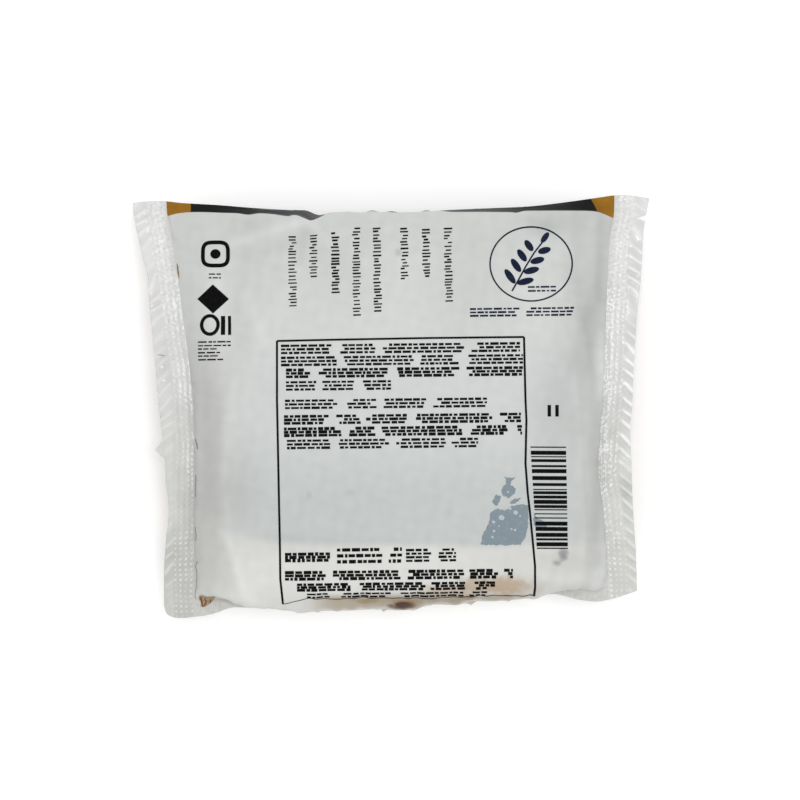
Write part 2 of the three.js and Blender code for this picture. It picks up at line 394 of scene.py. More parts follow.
def back_relief(points, place, front):
    """How far the back film stands off its smooth shape."""
    px, py = to_pixel(points)
    near_seam = np.exp(-place.seam / CRUMPLE_REACH)
    near_low = np.exp(-(((place.low - RUMPLE_PLACE) / RUMPLE_REACH) ** 2))
    amount = BACK_SLACK * slack(place.x, place.y) + BACK_CRUMPLE * crumple(place.x, place.y)
    amount += SEAM_CRUMPLE * crumple(place.x + 50, place.y) * near_seam
    amount += LOW_RUMPLE * rumple(place.x, place.low * 0.5) * near_low
    amount += place.gathers(*BACK_PLEATS)
    for x0, y0, x1, y1, width, depth in FOLDS:
        distance, along = segment_distance(px, py, x0, y0, x1, y1)
        ridge = np.exp(-np.sqrt(distance**2 + FOLD_ROUND) / width * FOLD_SHARPNESS)
        amount += depth * ridge * (FOLD_ENDS + FOLD_SWELL * np.sin(math.pi * along))
    lap = smooth(*LAP_EDGE, front) * smooth(*LAP_LIFT, front)
    return (amount + LAP_STEP * lap) * place.rim()


def front_relief(place):
    """How far the front film stands off its smooth shape: on the level face only inwards."""
    amount = FRONT_SLACK * slack(place.x + 70, place.y)
    amount += FRONT_CRUMPLE * crumple(place.x, place.y + 30)
    ridges = rumple(place.x * 0.7 + 9, place.fold * 0.2)
    amount += FOLD_RIDGES * ridges * np.exp(-place.fold / FOLD_RIDGE_REACH)
    ridges = rumple(place.seam * 0.2, place.y * 0.7 + 40)
    amount += SEAM_RIDGES * ridges * np.exp(-place.seam / SEAM_RIDGE_REACH)
    amount += place.gathers(*FRONT_PLEATS)
    return np.maximum(amount, -FRONT_BULGE) * place.rim()


# Meshes

def place_object(name, data):
    thing = bpy.data.objects.new(name, data)
    scene.collection.objects.link(thing)
    return thing


def add_object(name, points, faces):
    mesh = bpy.data.meshes.new(name)
    mesh.from_pydata((np.asarray(points) * MM).tolist(), [], faces)
    mesh.validate()
    mesh.update()
    mesh.polygons.foreach_set("use_smooth", [True] * len(mesh.polygons))
    return place_object(name, mesh)


def sharpen(thing, group):
    """Makes an edge sharp where both of its ends have the same number above 0."""
    ends = np.empty(2 * len(thing.data.edges), int)
    thing.data.edges.foreach_get("vertices", ends)
    marks = np.asarray(group)[ends.reshape(-1, 2)]
    sharp = (marks[:, 0] == marks[:, 1]) & (marks[:, 0] > 0)
    layer = thing.data.attributes.new("sharp_edge", "BOOLEAN", "EDGE")
    layer.data.foreach_set("value", sharp)


def grid_faces(columns, rows, start=0, flip=False):
    i, j = np.meshgrid(np.arange(columns - 1), np.arange(rows - 1), indexing="ij")
    a = start + i * rows + j
    b = a + rows
    quads = np.stack([a, b, b + 1, a + 1], -1).reshape(-1, 4)
    return quads[:, ::-1] if flip else quads


def strip_faces(first, second):
    return np.stack([first[1:], second[1:], second[:-1], first[:-1]], -1)


def shell(name, upper, lower, ends=False, flip=False):
    """Two films as one mesh, joined along their rows' ends, and with ends also along their outer columns.
    """
    nc, nu, nl = len(upper), upper.shape[1], lower.shape[1]
    start = nc * nu
    up, down = np.arange(nc) * nu, start + np.arange(nc) * nl
    rims = [(down, up), (up + nu - 1, down + nl - 1)]
    if ends:
        rows = np.arange(nu)
        last = (nc - 1) * nu
        rims += [(start + last + rows, last + rows), (rows, start + rows)]
    strips = [strip_faces(*rim) for rim in rims]
    if flip:
        strips = [strip[:, ::-1] for strip in strips]
    faces = [grid_faces(nc, nu, 0, flip), grid_faces(nc, nl, start, not flip), *strips]
    points = np.concatenate([upper.reshape(-1, 3), lower.reshape(-1, 3)])
    return add_object(name, points, np.concatenate(faces).tolist()), rims[:2]


def store(thing, name, values):
    """Keeps a number or a colour for each point of the mesh."""
    values = np.asarray(values, np.float32)
    colour = values.ndim > 1
    if colour:
        values = np.pad(values, ((0, 0), (0, 1)), constant_values=1)
    layer = thing.data.attributes.new(name, "FLOAT_COLOR" if colour else "FLOAT", "POINT")
    layer.data.foreach_set("color" if colour else "value", values.ravel())


def linear(colour):
    c = np.asarray(colour, float) / 255
    return np.where(c <= 0.04045, c / 12.92, ((c + 0.055) / 1.055) ** 2.4)


# Level of the studio light on a flat surface, and what the film's gloss adds to it
LIGHT_LEVEL = 1.18
GLOSS_LEVEL = 0.015
DARKEST = 0.003
LIGHTEST = 0.95


def lit(tone):
    """Base colour that gives a wanted screen value under the studio light."""
    base = (linear(np.clip(tone, 0, 255)) - GLOSS_LEVEL) / LIGHT_LEVEL
    return np.clip(base, DARKEST, LIGHTEST)


# Where the front's print shows past the top edge: pixels along the edge of the white back
FRONT_EDGE = [
    (164, 217.3), (166.2, 216.6), (175.5, 213.9), (183.6, 212.7), (191.6, 212.2), (205, 212.2),
    (223.8, 212.9), (237.2, 213.3), (248.5, 214.7), (258.6, 213.4), (270.6, 213.9), (288.7, 216.2),
    (292.1, 215.1), (297.4, 215.4), (304.1, 218.1), (310.8, 220.5), (316.2, 218.8), (322.9, 215.7),
    (328.5, 212.2), (350, 210), (385, 209.8), (391, 211.2), (395.5, 212.7), (400, 211.2), (410, 210.2),
    (438, 210.4), (450, 211.8), (478, 211.9), (500, 212.1), (512, 212.3), (516.2, 212.8), (524.2, 211),
    (540.3, 210.7), (573.7, 210.7), (594.5, 211.3),
    (603.2, 213.7), (611.9, 217.5), (615, 218.4),
]
PIXELS_PER_MM = 4.2
GOLD_LEFT = 6.3
GOLD_RIGHT = 5.7
GOLD_LEAN = 0.45
FRONT_LOW_EDGE = -40.5

# Tone of the film: what lies behind it shows faintly through, and painted shade darkens its sloping left
# and right ends
COOL_TOP = (211, 213, 211)
COOL_MIDDLE = (207, 210, 208)
COOL_LOW = (196, 200, 198)
COOL_LEFT = (206, 208, 206)
# Painted shade on the back film's steep left end
LEFT_SHADE = (196, 197, 194)
# Painted shade on the back film's steep right end
RIGHT_SLOPE_SHADE = (200, 202, 200)
WARM_LEFT = (220, 221, 217)
WARM_RIGHT = (213, 213, 209)
CORNER_GREY = (203, 204, 200)
TAN = (184, 163, 138)
TAN_DEEP = (168, 154, 132)
BROWN = (78, 50, 18)
BROWN_FOLD = (148, 122, 90)
BROWN_DEEP = (50, 29, 10)
SPOT_GREY = (150, 151, 150)
WALL = (212, 211, 206)
EAR_GREY = (208, 208, 205)
# Fin colour as painted light at the top and painted shade towards the bottom
FIN_LIT_TOP = (228, 228, 227)
FIN_SHADED_LOW = (205, 206, 202)

blotch = waves(10, 40, 130, 21)
mottle = waves(12, 10, 34, 22)
stain = waves(12, 5, 16, 23)
RICE_LINE = [(130, 534), (235, 537), (300, 543), (480, 546), (530, 544), (660, 545)]
RICE_CORNER = [(500, 214), (530, 223), (548, 228), (586, 239), (606, 246)]

# Small marks under the film: colour, strength, pixel centre, half width, half height, softness
MARKS = [
    (TAN, 0.8, 504, 586, 21, 9, 0.5), (TAN, 0.5, 452, 591, 30, 6, 0.5), (TAN, 0.15, 532, 586, 14, 8, 0.5),
    (TAN, 0.6, 474, 584, 14, 7, 0.5), (BROWN_FOLD, 0.75, 404.5, 603.5, 14, 4.5, 0.4),
    (BROWN, 1, 403.5, 605.3, 11, 3.2, 0.4), (BROWN_DEEP, 0.6, 403, 608.2, 10, 1.8, 0.4),
    (SPOT_GREY, 0.3, 398.5, 252, 3, 4, 0.5), (BROWN_FOLD, 0.6, 470, 598, 9, 2.5, 0.5),
    (BROWN_FOLD, 0.5, 366, 601, 10, 2.5, 0.5), (SPOT_GREY, 1, 563.5, 554.5, 4.5, 5, 0.5),
    (SPOT_GREY, 0.7, 557, 563, 4, 2.6, 0.5), (SPOT_GREY, 0.25, 309, 495, 2, 4, 0.5),
    (SPOT_GREY, 0.15, 350, 493, 4, 3, 0.5),
]

# Soft shades and lights where the film bulges or sinks: amount, pixel centre, half width, half height
SHADES = [
    (15, 216, 305, 14, 60), (-9, 470, 285, 45, 55), (-8, 335, 265, 45, 45), (-15, 552, 224, 30, 14),
    (-7, 255, 226, 22, 14), (-14, 556, 418, 28, 42), (-17, 236, 492, 24, 46), (-13, 592, 522, 12, 40),
    (32, 604, 372, 8, 44), (16, 605, 548, 8, 50), (-12, 566, 560, 24, 9), (9, 572, 581, 30, 8),
    (-15, 584, 312, 16, 34), (8, 222, 588, 22, 14), (11, 199, 455, 5, 60), (17, 234, 600, 24, 11),
    (-9, 300, 546, 60, 10), (-16, 470, 598, 60, 8), (-13, 400, 599, 40, 6), (-9, 566, 362, 22, 34),
    (-10, 556, 591, 22, 6), (-6, 545, 226, 12, 8),
]

STAIN_UNEVEN = 0.18

# Ramps of the film's tone in pixels: none of a colour at the first value, all of it at the second
WAVER = 6
LEFT_WAVER = 8
MIDDLE_ROWS = (300, 400)
LOW_ROWS = (425, 500)
LOW_COLUMNS = (235, 290)
LEFT_COLUMNS = (275, 225)
LEFT_ROWS = (470, 380)
SHADED_COLUMNS = (236, 214)
RIGHT_SHADE_COLUMNS = (560, 592)
RICE_RAMP = (-5, 6)
WARM_COLUMNS = (420, 520)
CORNER_RAMP = (6, -6)
CORNER_ROWS = (500, 540)
LOW_RIGHT_SHADE_COLUMNS = (578, 596)
LOW_RIGHT_SHADE_SHARE = 0.7
RIM_ROWS = (592, 600)
RIM_LEFT = (296, 340)
RIM_RIGHT = (552, 520)
RIM_SHARE = 0.75
WALL_DEPTH = (4, 9)
WALL_ROWS = (590, 600)
WALL_CLOUDS = 0.25
CLOUD_RANGE = (0.2, 1.6)
# Painted light on raised folds and painted shade in sunk ones, by their height
FOLD_LIGHT_AND_SHADE = 26
FOLD_SHADE_FADE = 1.4
MOTTLE_TONE = 1.6


def blob(px, py, cx, cy, rx, ry, edge):
    distance = np.hypot((px - cx) / rx, (py - cy) / ry)
    return smooth(1 + edge, 1 - edge, distance + STAIN_UNEVEN * stain(px, py))


def over(tone, colour, mask):
    return mix(tone, np.asarray(colour, float), mask[..., None])


def plain(shape, colour):
    return np.zeros(shape + (3,)) + np.asarray(colour, float)


def film_tone(px, py, depth):
    """Colour of the back film in screen values, by pixel and by depth under the level back, with painted
    shade on its sloping ends and painted light and shade along its folds.
    """
    waver = WAVER * blotch(px, py)
    tone = over(plain(px.shape, COOL_TOP), COOL_MIDDLE, smooth(*MIDDLE_ROWS, py + waver))
    tone = over(tone, COOL_LOW, smooth(*LOW_ROWS, py) * smooth(*LOW_COLUMNS, px))
    at_left = smooth(*LEFT_COLUMNS, px + LEFT_WAVER * blotch(py, px))
    tone = over(tone, COOL_LEFT, at_left * smooth(*LEFT_ROWS, py))
    # painted shade where the left end slopes down to its seam
    tone = over(tone, LEFT_SHADE, smooth(*SHADED_COLUMNS, px) * smooth(*MIDDLE_ROWS, py))
    # painted shade where the right end slopes down to its seam
    tone = over(tone, RIGHT_SLOPE_SHADE, smooth(*RIGHT_SHADE_COLUMNS, px + waver))
    below = smooth(*RICE_RAMP, py - curve(RICE_LINE, px))
    warm = over(plain(px.shape, WARM_LEFT), WARM_RIGHT, smooth(*WARM_COLUMNS, px))
    tone = mix(tone, warm, below[..., None])
    outside = smooth(*CORNER_RAMP, px - curve(RICE_CORNER, py)) * smooth(*CORNER_ROWS, py)
    tone = over(tone, CORNER_GREY, outside)
    # the same painted shade on the right slope below the rice line
    tone = over(tone, RIGHT_SLOPE_SHADE, smooth(*LOW_RIGHT_SHADE_COLUMNS, px) * below * LOW_RIGHT_SHADE_SHARE)
    low_rim = smooth(*RIM_ROWS, py) * smooth(*RIM_LEFT, px) * smooth(*RIM_RIGHT, px)
    tone = over(tone, TAN_DEEP, RIM_SHARE * low_rim)
    for amount, cx, cy, rx, ry in SHADES:
        away = ((px - cx) / rx) ** 2 + ((py - cy) / ry) ** 2
        tone += amount * np.exp(-away)[..., None]
    for colour, strength, *place in MARKS:
        tone = over(tone, colour, strength * blob(px, py, *place))
    on_wall = smooth(*WALL_DEPTH, depth) * smooth(*WALL_ROWS, py)
    tone = mix(tone, wall_tone(px, depth), on_wall[..., None])
    # painted light along raised folds, painted shade along sunk ones
    for x0, y0, x1, y1, width, height in FOLDS:
        distance, _ = segment_distance(px, py, x0, y0, x1, y1)
        near = np.exp(-((distance / width * FOLD_SHADE_FADE) ** 2))
        tone += FOLD_LIGHT_AND_SHADE * height * near[..., None]
    return tone + MOTTLE_TONE * mottle(px, py)[..., None]


def wall_tone(along, down):
    """Milky film of the lower side, with faint warm clouds."""
    clouds = smooth(*CLOUD_RANGE, blotch(along * 1.3, down * 12))
    return over(plain(along.shape, WALL), TAN, WALL_CLOUDS * clouds)


BODY_COLUMNS = 200
CROWDING = 0.45
UPPER_ROWS = 255
LOWER_ROWS = 130
FLOOR_GAP = 0.02
EAR_WAVE = 0.55
EAR_WAVE_LENGTH = 7
EAR_WAVE_START = (0, 2.5)
EAR_FULL_WIDTH = 4.5
EAR_TONE_SHARE = (0.02, 0.25)
EAR_MOTTLE = 5
LOW_UNEVEN = 0.4
FRONT_REACH = 4


def ear_share(across, rows):
    """1 on the outer edge of the flat ear, 0 where the body begins and where there is no ear."""
    share = np.zeros(rows)
    share[:len(EAR_SHARES)] = 1 - EAR_SHARES
    width = curve(EAR_WIDTH, across_x(across, -HALF_HEIGHT)) / EAR_FULL_WIDTH
    return np.clip(width, 0, 1)[:, None] * share[None, :]


def front_shown(points):
    """Millimetres by which a place of the back film is past the edge of the white print."""
    px, py = to_pixel(points)
    return (curve(FRONT_EDGE, px) - py) / PIXELS_PER_MM


def body_mesh(upper, lower):
    """The film skin of both films, joined at its folded edges, with sharp edges where the two films meet.
    """
    body, ((down_low, up_low), (up_high, down_high)) = shell("film_body", upper, lower)
    rims = np.zeros(len(body.data.vertices), int)
    for mark, line in enumerate((up_low, up_high, down_low, down_high), start=1):
        rims[line] = mark
    sharpen(body, rims)
    return body


def back_tone(upper, ear):
    px, py = to_pixel(upper)
    depth = back_height(upper[..., 0], upper[..., 1]) - upper[..., 2]
    flat = smooth(*EAR_TONE_SHARE, ear)
    tone = over(film_tone(px, py, depth), EAR_GREY, flat)
    return tone + (EAR_MOTTLE * flat * mottle(px * 3, py * 3))[..., None]


def make_body():
    across = crowded(BODY_COLUMNS, CROWDING)
    flat_upper = film_grid(across, film_rows(True, UPPER_ROWS), True)
    lower = film_grid(across, film_rows(False, LOWER_ROWS), False)
    on_back, on_front = FilmPlace(flat_upper), FilmPlace(lower)
    relief = back_relief(flat_upper, on_back, front_shown(flat_upper))
    upper = flat_upper + grid_normals(flat_upper) * relief[..., None]
    lower = lower - grid_normals(lower) * front_relief(on_front)[..., None]
    for film, place in ((upper, on_back), (lower, on_front)):
        wave = EAR_WAVE * np.sin(2 * math.pi * place.x / EAR_WAVE_LENGTH)
        film[..., 2] += wave * smooth(*EAR_WAVE_START, place.seam) * ear_share(across, film.shape[1])
    lower[..., 2] = np.maximum(lower[..., 2], FLOOR_GAP)
    body = body_mesh(upper, lower)

    tone = lit(back_tone(upper, ear_share(across, upper.shape[1]))).reshape(-1, 3)
    low_tone = lit(wall_tone(on_front.x * PIXELS_PER_MM, on_front.high)).reshape(-1, 3)
    store(body, "tone", np.concatenate([tone, low_tone]))
    shown = front_shown(upper)
    past_low_edge = lower[..., 1] - FRONT_LOW_EDGE + LOW_UNEVEN * crumple(on_front.x, on_front.y)
    shown_low = np.minimum(on_front.high + shown[:, -1:], past_low_edge)
    shown_low = np.clip(shown_low, -FRONT_REACH, FRONT_REACH)
    store(body, "front", np.concatenate([shown.ravel(), shown_low.ravel()]))
    lean = GOLD_LEAN * (upper[..., 1] - HALF_HEIGHT)
    gold = np.maximum(GOLD_LEFT - on_back.left, GOLD_RIGHT + lean - on_back.right)
    gold_low = np.maximum(GOLD_LEFT - on_front.left, GOLD_RIGHT - on_front.right)
    store(body, "gold", np.concatenate([gold.ravel(), gold_low.ravel()]))
    return body, Film(flat_upper, upper)


# Tab (-) and tears (+) of the fins' free edges: depth, place, half width, and how flat the bottom is
FIN_NOTCHES = {
    "left": [(-2.3, -10.3, 2.1, 1), (1.9, 11.9, 0.3, 1.7), (0.9, 2.9, 0.5, 1)],
    "right": [(2.8, 44.9, 0.7, 1)],
}
NOTCH_REACH = (0.35, 1)


def fin_edge_notch(side, y):
    total = 0.0
    for depth, place, half_width, flat in FIN_NOTCHES[side]:
        total += depth * np.clip(flat - np.abs(y - place) / half_width, 0, 1)
    return total


FIN_COLUMNS = 52
FIN_ROWS = 430
FIN_OVERLAP = 0.01
FIN_REACH = 1.1
UNDER_SHARE = 0.8
fin_noise = waves(12, 2.5, 12, 31)
fin_fine = waves(16, 1.0, 3.0, 32)
fin_long = waves(6, 14, 50, 33)

# Seal of a fin, by the distance from its seam: lines with breaks, and dots below a height
SEAL_BEGIN = (0.15, 0.5)
SEAL_END = (5.3, 4.7)
SEAL_PITCH = 1.25
SEAL_INSET = 0.6
DOTS_BELOW = (-28, -33)
LINE_WAVER = 0.7
BREAK_WAVER = 2
DOT_SHIFT = 0.8
DOT_LEVEL = 0.9
DOT_UNEVEN = 0.5
DOT_RANGE = (0.2, 1.4)
DOT_FADE = (1.5, 4.5)
DOT_OUTER = 0.5
CRUMBS_ABOVE = (5, 28)

# The seal's lines, crumbs, dots and ground, in relief and in tone; the tone is painted highlights on the
# lines, crumbs and dots and painted shade on the ground between the dots
SEAL_RELIEF = (0.06, 0.03, 0.3, 0)
SEAL_HIGHLIGHTS_AND_SHADE = (7, 6, 55, -8)

# Slanted pillows outside the seal, and the wrinkles over the whole fin
MARGIN_BEGIN = (4.1, 5.7)
PILLOW_PITCH = 3.1
PILLOW_LEAN = 0.9
PILLOW_HEIGHT = 0.3
PUFF_LEVEL = 0.55
PUFF_UNEVEN = 0.45
PUFF_RANGE = (0.25, 1.3)
BULGE_TOP = (26, 12)
BULGE_LOW = (-30, -18)
WAVER_TOP = (18, 28)

# Pillows of a side: their share of the height, bulge in the middle, waver, more waver at the top
PILLOWS = {"left": (0.6, 0, 2.2, 0), "right": (1, 0.9, 1, 1.6)}
FIN_WRINKLE = 0.09
WRINKLE_INNER = 0.4
FIN_CRINKLE = 0.03
FIN_ROOT = (0, 0.25)

# Tones of a fin in screen values, with painted light and shade: lit at the top and shaded towards the
# bottom, painted glints, painted shade beside the seam and painted light on pillow crests
FIN_SHADE_FADE = (-30, 42)
SPARKLE_TONE = 12
SPARKLE_RANGE = (1, 2.4)
SPARKLE_MARGIN = 0.35
SEAM_SHADE_TONE = -14
SEAM_SHADE_REACH = 1.3
SEAM_SHADE_ABOVE = (-34, -30)
FIN_UNEVEN = 3
PUFF_HIGHLIGHT = 26
PUFF_POWER = 1.5
PUFF_SHADE = -8

# Painted light on fields of the fins: amount, ramps at the top and at the bottom, 1 if only outside the
# seal
FIN_PAINTED_LIGHTS = {
    "left": [(9, (9, 4), (-33, -28), 1)],
    "right": [(20, (18, 12), (-20, -14), 1), (13, (-16, -24), (-60, -59), 0)],
}


def fin_surface(side, x, y, w):
    """Relief in millimetres and tone of a fin, w being the distance from its seam."""
    in_seal = smooth(*SEAL_BEGIN, w) * smooth(*SEAL_END, w)
    margin = smooth(*MARGIN_BEGIN, w)
    dotted = smooth(*DOTS_BELOW, y)
    out_turn = 2 * math.pi * (w - SEAL_INSET) / SEAL_PITCH
    along_turn = 2 * math.pi * y / SEAL_PITCH
    lines = np.cos(out_turn + LINE_WAVER * (1 - dotted) * fin_noise(x * 0.6, y * 0.3))
    breaks = 0.5 + 0.5 * np.cos(along_turn + BREAK_WAVER * fin_noise(x * 0.7, y * 0.7))
    shift = DOT_SHIFT * fin_noise(x * 0.5 + 60, y * 0.5)
    dots = np.clip(np.cos(out_turn + shift), 0, 1) * np.clip(np.cos(along_turn - shift), 0, 1)
    dots *= np.clip(DOT_LEVEL + DOT_UNEVEN * fin_noise(x + 20, y * 0.8), *DOT_RANGE)
    dots *= mix(1, DOT_OUTER, smooth(*DOT_FADE, w))
    crumbs = fin_fine(x * 1.3, y * 1.3) * smooth(*CRUMBS_ABOVE, y)
    high, bulge, waver, top_waver = PILLOWS[side]
    strength = PUFF_LEVEL + PUFF_UNEVEN * fin_long(x * 0.3, y)
    strength = strength + bulge * smooth(*BULGE_TOP, y) * smooth(*BULGE_LOW, y)
    strength = high * np.clip(strength, *PUFF_RANGE) * margin
    waver = waver + top_waver * smooth(*WAVER_TOP, y)
    pillow_turn = 2 * math.pi * (y + PILLOW_LEAN * w) / PILLOW_PITCH
    pillow = np.sin(pillow_turn + waver * fin_long(x * 0.5 + 9, y * 1.7))

    def pressed(line, crumb, dot, ground):
        bands = line * lines * breaks + crumb * crumbs
        return mix(bands, dot * dots + ground, dotted) * in_seal

    shape = pressed(*SEAL_RELIEF) + PILLOW_HEIGHT * pillow * strength
    shape += FIN_WRINKLE * fin_noise(x, y) * (WRINKLE_INNER + margin)
    shape = (shape + FIN_CRINKLE * fin_fine(x, y)) * smooth(*FIN_ROOT, w)

    glints = smooth(*SPARKLE_RANGE, fin_fine(x + 5, y + 3))
    # painted highlights on the pillow crests, painted shade between them
    puff_light = PUFF_HIGHLIGHT * np.clip(pillow, 0, 1) ** PUFF_POWER + PUFF_SHADE
    change = pressed(*SEAL_HIGHLIGHTS_AND_SHADE) + puff_light * strength + FIN_UNEVEN * fin_noise(x + 40, y)
    # painted glints
    change += SPARKLE_TONE * glints * (SPARKLE_MARGIN + in_seal)
    # painted shade in the crease beside the seam
    change += SEAM_SHADE_TONE * np.exp(-((w / SEAM_SHADE_REACH) ** 2)) * smooth(*SEAM_SHADE_ABOVE, y)
    for amount, top, low, outside in FIN_PAINTED_LIGHTS[side]:
        change += amount * mix(1, margin, outside) * smooth(*top, y) * smooth(*low, y)
    # painted light at the fin's top, painted shade towards its bottom
    tone = over(plain(y.shape, FIN_SHADED_LOW), FIN_LIT_TOP, smooth(*FIN_SHADE_FADE, y))
    return shape, tone + change[..., None]


def make_fin(side):
    left = side == "left"
    sign = -1 if left else 1
    out = np.linspace(-FIN_OVERLAP, 1, FIN_COLUMNS + 1)[:, None]
    across = -out if left else 1 + out
    y = mix(bottom_edge(across), top_edge(across), np.linspace(0, 1, FIN_ROWS + 1)[None, :])
    edge = curve(LEFT_FIN_EDGE if left else RIGHT_FIN_EDGE, y)
    seam = curve(LEFT_SEAM if left else RIGHT_SEAM, y)
    x = seam + (edge - seam) * out
    x = x - sign * fin_edge_notch(side, y) * smooth(*NOTCH_REACH, out)
    share = np.clip((x - seam) / (edge - seam), 0, FIN_REACH)
    wave = FIN_WAVE * np.sin(2 * math.pi * y / FIN_WAVE_LENGTH) * share
    z = edge_height(x, y) - FIN_SAG * share**2 + wave
    points = np.stack([*spread(x, y, z), z], -1)
    shape, tone = fin_surface(side, x, y, share * np.abs(edge - seam))
    normal = grid_normals(points)
    half = normal * np.sign(normal[..., 2:3]) * FILM_HALF
    up = np.array([0, 0, 1.0]) * shape[..., None]
    fin, _ = shell("fin_" + side, points + half + up, points - half + UNDER_SHARE * up, True, left)
    colour = lit(tone).reshape(-1, 3)
    store(fin, "tone", np.concatenate([colour, colour]))
    return fin


# Materials

class Shader:
    """A new material's shader and the nodes that feed it."""

    def __init__(self, name, gloss):
        self.material = bpy.data.materials.new(name)
        self.material.use_nodes = True
        self.tree = self.material.node_tree
        self.inputs = self.tree.nodes["Principled BSDF"].inputs
        self.feed("Specular IOR Level", gloss)

    def put(self, value, socket):
        """Links an output to a socket, or sets the socket to a value."""
        if isinstance(value, bpy.types.NodeSocket):
            self.tree.links.new(value, socket)
        else:
            socket.default_value = value

    def feed(self, name, value):
        self.put(value, self.inputs[name])

    def add(self, kind, inputs, output):
        node = self.tree.nodes.new("ShaderNode" + kind)
        for name, value in inputs.items():
            self.put(value, node.inputs[name])
        return node.outputs[output]

    def attribute(self, name, output="Fac"):
        node = self.tree.nodes.new("ShaderNodeAttribute")
        node.attribute_name = name
        return node.outputs[output]

    def noise(self, scale, detail=2):
        where = self.add("TexCoord", {}, "Object")
        return self.add("TexNoise", {"Scale": scale, "Detail": detail, "Vector": where}, "Fac")

    def ramp(self, source, low=0, high=1, first=0, last=1):
        inputs = {"Value": source, "From Min": low, "From Max": high, "To Min": first, "To Max": last}
        return self.add("MapRange", inputs, "Result")

    def mix(self, share, first, second, blend="MIX"):
        node = self.tree.nodes.new("ShaderNodeMix")
        node.data_type = "RGBA"
        node.blend_type = blend
        for value, socket in ((share, 0), (first, 6), (second, 7)):
            self.put(value, node.inputs[socket])
        return node.outputs[2]

    def grain(self, scale, strength):
        inputs = {"Strength": strength, "Distance": GRAIN_DEPTH, "Height": self.noise(scale, GRAIN_DETAIL)}
        self.feed("Normal", self.add("Bump", inputs, "Normal"))


def grey(level):
    return (level, level, level, 1)


def paint(colour):
    return (*lit(colour), 1)


BLACK_FRONT = (*linear((4, 4, 5)), 1)
GOLD_FRONT = paint((140, 98, 26))
GOLD_BRIGHT = paint((166, 122, 44))
GRAIN_DETAIL = 3
GRAIN_DEPTH = 0.00012

# Milky film, with clouds in its tone and shimmer in its gold
CLOUD_SCALE = 220
CLOUD_LEVELS = (0.97, 1.03)
SHIMMER_NOISE = (160, 4)
SHIMMER_RANGE = (0.35, 0.7)
FRONT_SOFTNESS = (-0.05, 0.05)
GOLD_SOFTNESS = (-0.08, 0.08)
MILKY_ROUGHNESS = 0.44
FRONT_ROUGHNESS = 0.34
MILKY_GLOSS = 0.18
MILKY_GRAIN = (900, 0.12)

# Sealed film of the fins, and ink with worn specks
SEALED_ROUGHNESS = 0.22
SEALED_GLOSS = 0.5
SEALED_GRAIN = (1400, 0.2)
WEAR_SCALE = 1500
WEAR_RANGE = (0.5, 0.8)
INK_ROUGHNESS = 0.6
INK_GLOSS = 0.04


def film_material():
    shader = Shader("milky_film", MILKY_GLOSS)
    front = shader.ramp(shader.attribute("front"), *FRONT_SOFTNESS)
    gold = shader.ramp(shader.attribute("gold"), *GOLD_SOFTNESS)
    veil = shader.mix(shader.noise(CLOUD_SCALE), *map(grey, CLOUD_LEVELS))
    tinted = shader.mix(1, shader.attribute("tone", "Color"), veil, "MULTIPLY")
    shimmer = shader.ramp(shader.noise(*SHIMMER_NOISE), *SHIMMER_RANGE)
    golden = shader.mix(shimmer, GOLD_FRONT, GOLD_BRIGHT)
    ink = shader.mix(gold, BLACK_FRONT, golden)
    shader.feed("Base Color", shader.mix(front, tinted, ink))
    shader.feed("Roughness", shader.ramp(front, first=MILKY_ROUGHNESS, last=FRONT_ROUGHNESS))
    shader.grain(*MILKY_GRAIN)
    return shader.material


def fin_material():
    shader = Shader("sealed_film", SEALED_GLOSS)
    shader.feed("Base Color", shader.attribute("tone", "Color"))
    shader.feed("Roughness", SEALED_ROUGHNESS)
    shader.grain(*SEALED_GRAIN)
    return shader.material


def ink_material(name, colour, wear):
    shader = Shader(name, INK_GLOSS)
    speck = shader.ramp(shader.noise(WEAR_SCALE), *WEAR_RANGE)
    tones = [(*(linear(np.asarray(colour) + more) / LIGHT_LEVEL), 1) for more in (0, wear)]
    shader.feed("Base Color", shader.mix(speck, *tones))
    shader.feed("Roughness", INK_ROUGHNESS)
    return shader.material


# Print on the back: flat shapes laid on the film, given in pixels

class Film:
    """The back film, smooth and wrinkled, to lay flat shapes on."""

    def __init__(self, flat, wrinkled):
        quads = grid_faces(*flat.shape[:2])
        self.triangles = np.concatenate([quads[:, :3], quads[:, [0, 2, 3]]]).tolist()
        self.flat = flat.reshape(-1, 3)
        self.wrinkled = wrinkled.reshape(-1, 3)
        self.normals = grid_normals(wrinkled).reshape(-1, 3)
        self.tree = BVHTree.FromPolygons([Vector(p) for p in self.flat], self.triangles)

    def place(self, px, py, lift):
        """The film's point that belongs under a pixel, lifted off the wrinkled film."""
        aim = Vector(((px - IMAGE / 2) / FOCAL_PIXELS, -(py - IMAGE / 2) / FOCAL_PIXELS, -1))
        hit, _, index, _ = self.tree.ray_cast(Vector(CAMERA), aim.normalized())
        if hit is None:
            return None
        corners = self.triangles[index]
        before = [Vector(self.flat[k]) for k in corners]
        after = [Vector(self.wrinkled[k] + lift * self.normals[k]) for k in corners]
        return barycentric_transform(hit, *before, *after)


# Longest step of a laid shape in pixels, so that it follows the film's wrinkles
STEP = 1.3
STEEP_STEP = 0.35
MOST_CUTS = 6
RING_POINTS = 73

# Broken lines in pixels: gaps between groups, dashes, breaks between dashes, share of the width
FIRST_GAP = (20, 60)
GAP_WIDTH = (3, 6)
GAP_PITCH = (25, 90)
DASH = (2.4, 9)
SHORTEST_DASH = 1
LAST_DASH = 1.5
DASH_BREAK = (0.9, 1.8)
DASH_WIDTH = (0.85, 1.15)

# Ladders of short strokes in pixels, and the shares by which they vary
LADDER_LEAN = 0.012
RUNG_LENGTH = 8.6
RUNG_PITCH = 3.2
RUNG_TILT = 0.3
RUNG_SHARE = (0.45, 1)
RUNG_WIDTH = (0.8, 1.15)
RUNG_SPACING = (0.8, 1.25)


